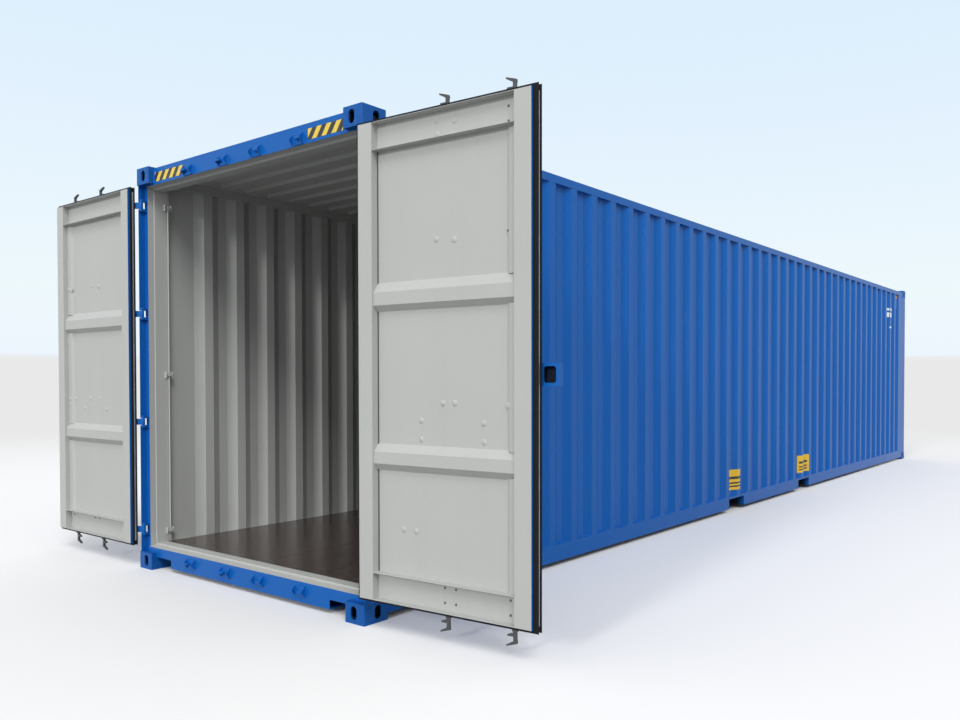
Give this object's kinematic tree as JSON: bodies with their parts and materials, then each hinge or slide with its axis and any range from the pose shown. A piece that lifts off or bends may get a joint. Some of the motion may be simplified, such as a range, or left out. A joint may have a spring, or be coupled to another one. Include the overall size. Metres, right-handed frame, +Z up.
{
  "type": "shipping container",
  "caption": "Forty-foot high-cube steel freight container with pressed walls and roof, a plywood floor, and hinged end doors with turning lock rods, cams and handles",
  "frame": {"origin": "centre of the rectangle of the bottom corner castings' slots, on the castings' underside", "axes": "+X along the container to the front wall, with the doors at -X; +Y to the left-hand side; +Z up"},
  "size_m": [12.25, 4.8554, 2.896],
  "materials": {
    "blue_paint": "satin",
    "grey_paint": "satin",
    "plywood": "varnished",
    "gasket_rubber": "matte",
    "galvanised_steel": "satin",
    "vent_plastic": "matte"
  },
  "bodies": {
    "root": {"corner_castings_bottom": "blue_paint", "corner_castings_top": "blue_paint", "rear_post_left": "blue_paint", "rear_post_right": "blue_paint", "front_posts": "blue_paint", "door_header": "blue_paint", "door_sill": "blue_paint", "cam_keepers": "blue_paint", "hinge_lugs": "blue_paint", "top_side_rails": "blue_paint", "bottom_side_rails": "blue_paint", "front_top_rail": "blue_paint", "front_sill": "blue_paint", "side_wall_left": "blue_paint", "side_wall_right": "blue_paint", "front_wall": "blue_paint", "roof_panel": "blue_paint", "roof_header_plates": "blue_paint", "ventilators": "vent_plastic", "floor_boards": "plywood", "cross_members": "blue_paint", "tunnel_outriggers": "blue_paint", "gooseneck_tunnel": "blue_paint", "fork_pockets": "blue_paint", "lashing_bars": "grey_paint"},
    "right_door": {"right_door_frame": "blue_paint", "right_door_panel": "grey_paint", "right_door_gasket": "gasket_rubber", "right_hinge_blades": "blue_paint", "right_rod_brackets": "blue_paint", "right_handle_catches": "blue_paint", "lock_box": "blue_paint"},
    "right_outer_rod": {"right_outer_lock_rod": "galvanised_steel", "right_outer_lock_handle": "galvanised_steel"},
    "right_inner_rod": {"right_inner_lock_rod": "galvanised_steel", "right_inner_lock_handle": "galvanised_steel"},
    "left_door": {"left_door_frame": "blue_paint", "left_door_panel": "grey_paint", "left_door_gasket": "gasket_rubber", "left_hinge_blades": "blue_paint", "left_rod_brackets": "blue_paint", "left_handle_catches": "blue_paint", "lock_staple": "blue_paint"},
    "left_outer_rod": {"left_outer_lock_rod": "galvanised_steel", "left_outer_lock_handle": "galvanised_steel"},
    "left_inner_rod": {"left_inner_lock_rod": "galvanised_steel", "left_inner_lock_handle": "galvanised_steel"}
  },
  "joints": [
    {"name": "right_door_hinge", "type": "hinge", "parent": "root", "child": "right_door", "pos_m": [-6.076, -1.195, 1.465], "axis": [0, 0, 1], "range_deg": [-184, 78]},
    {"name": "left_door_hinge", "type": "hinge", "parent": "root", "child": "left_door", "pos_m": [-6.076, 1.195, 1.465], "axis": [0, 0, -1], "range_deg": [-180, 82]},
    {"name": "right_outer_rod_turn", "type": "hinge", "parent": "right_door", "child": "right_outer_rod", "pos_m": [-6.03366, -1.80052, 1.465], "axis": [0, 0, 1], "range_deg": [-90, 0]},
    {"name": "right_inner_rod_turn", "type": "hinge", "parent": "right_door", "child": "right_inner_rod", "pos_m": [-6.00436, -2.2195, 1.465], "axis": [0, 0, 1], "range_deg": [-90, 0]},
    {"name": "left_outer_rod_turn", "type": "hinge", "parent": "left_door", "child": "left_outer_rod", "pos_m": [-6.076, 1.802, 1.465], "axis": [0, 0, -1], "range_deg": [-90, 0]},
    {"name": "left_inner_rod_turn", "type": "hinge", "parent": "left_door", "child": "left_inner_rod", "pos_m": [-6.076, 2.222, 1.465], "axis": [0, 0, -1], "range_deg": [-90, 0]}
  ]
}
